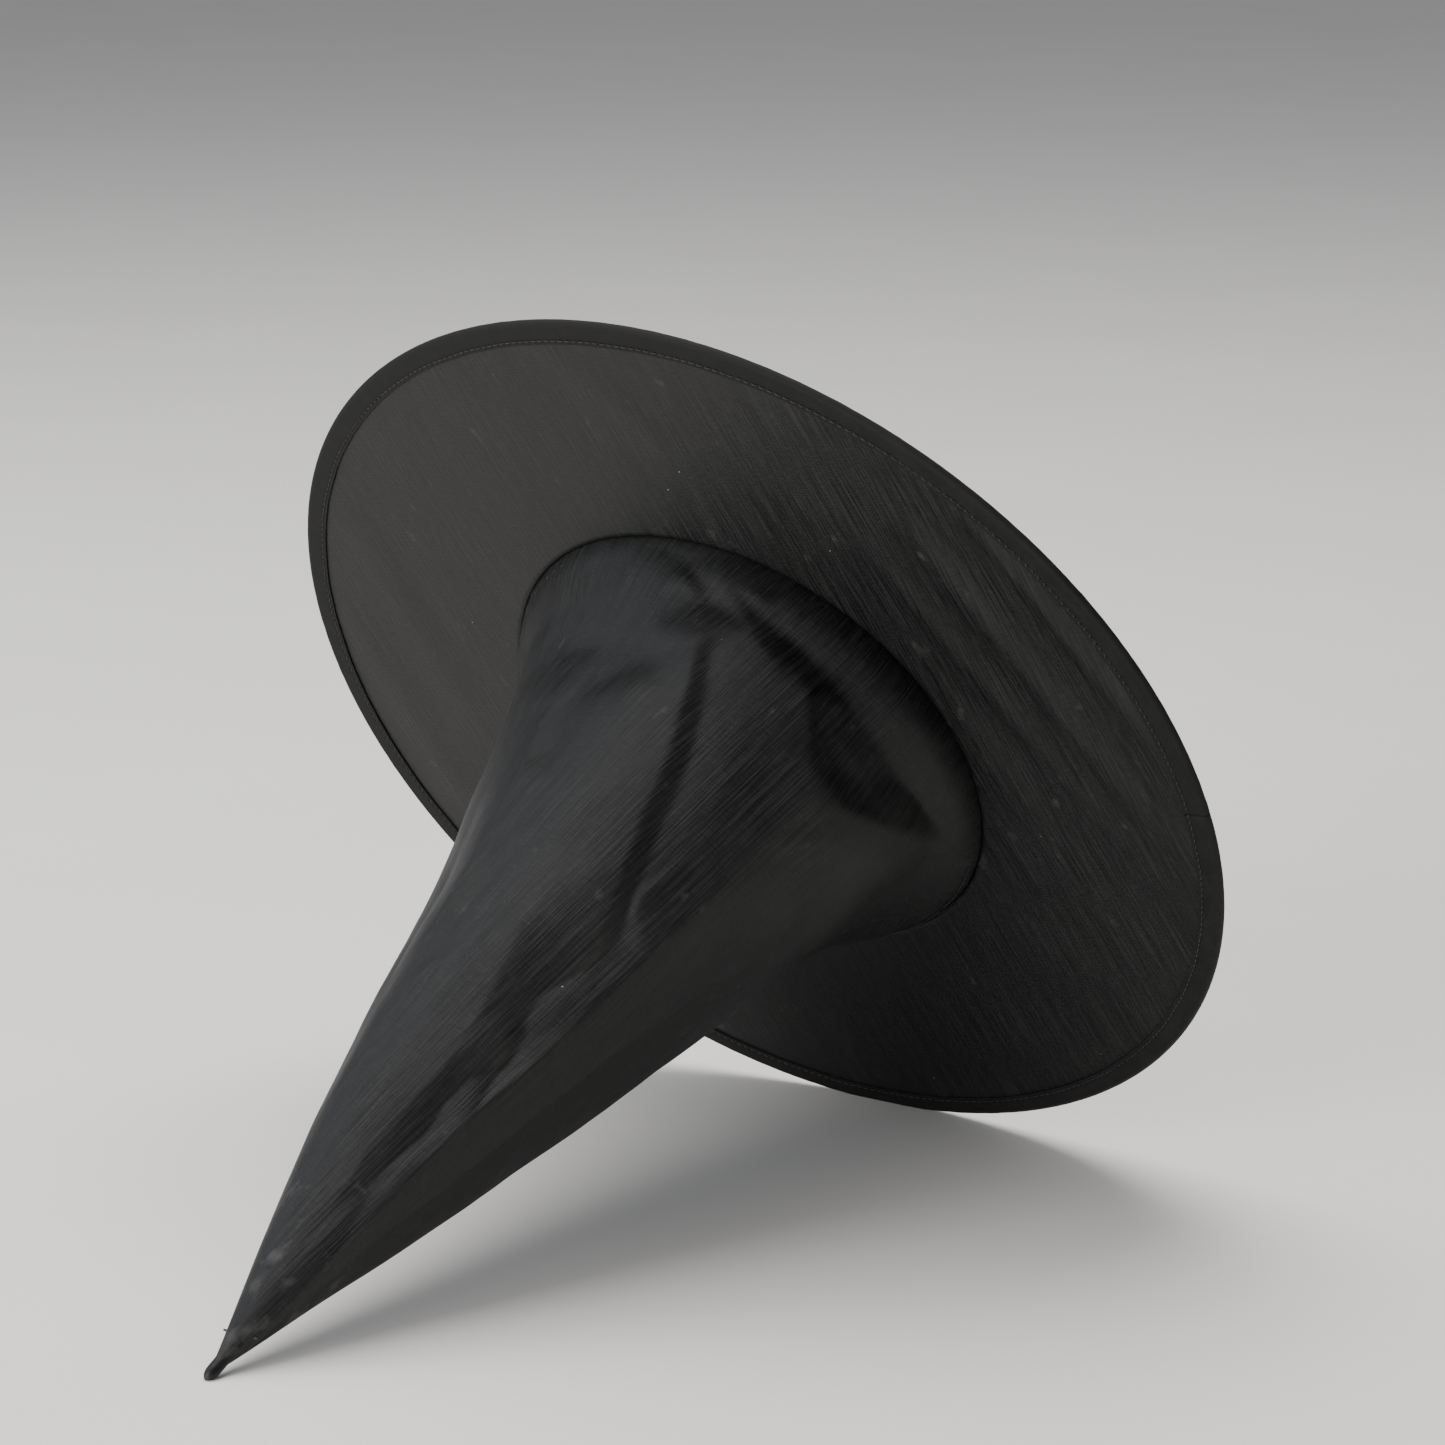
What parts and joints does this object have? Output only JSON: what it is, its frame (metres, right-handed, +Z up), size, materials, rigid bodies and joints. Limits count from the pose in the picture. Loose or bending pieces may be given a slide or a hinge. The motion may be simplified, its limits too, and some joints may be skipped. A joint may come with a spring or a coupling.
{
  "type": "witch hat",
  "caption": "Wide-brimmed conical costume hat of stiffened taffeta with a bound, hooped rim, lying on its side on its tip and brim edge.",
  "frame": {"origin": "on the floor plane, under the middle of the bounding box of the hat as it lies", "axes": "+Z up; the hat's axis lies in the YZ plane, its tip towards -Y and down, its head opening facing +Y and up; +X across the hat"},
  "size_m": [0.38, 0.3756, 0.3285],
  "materials": {
    "taffeta": "satin",
    "stiffener_board": "matte non-woven felt",
    "bias_tape": "satin",
    "twill_tape": "matte",
    "thread": "matte",
    "spring_wire": "drawn",
    "crimp_tube": "satin",
    "label_satin": "satin"
  },
  "bodies": {
    "root": {"brim_upper_cloth": "taffeta", "brim_stiffener": "stiffener_board", "brim_under_cloth": "taffeta", "rim_hoop": "spring_wire", "hoop_sleeve": "crimp_tube", "rim_binding": "bias_tape", "binding_needle_thread": "thread", "binding_bobbin_thread": "thread", "crown_cloth": "taffeta", "crown_stiffener": "stiffener_board", "crown_seam_thread": "thread", "head_seam_thread": "thread", "sweatband": "twill_tape", "sweatband_thread": "thread", "tip_tack": "thread", "size_label": "label_satin"}
  },
  "joints": []
}
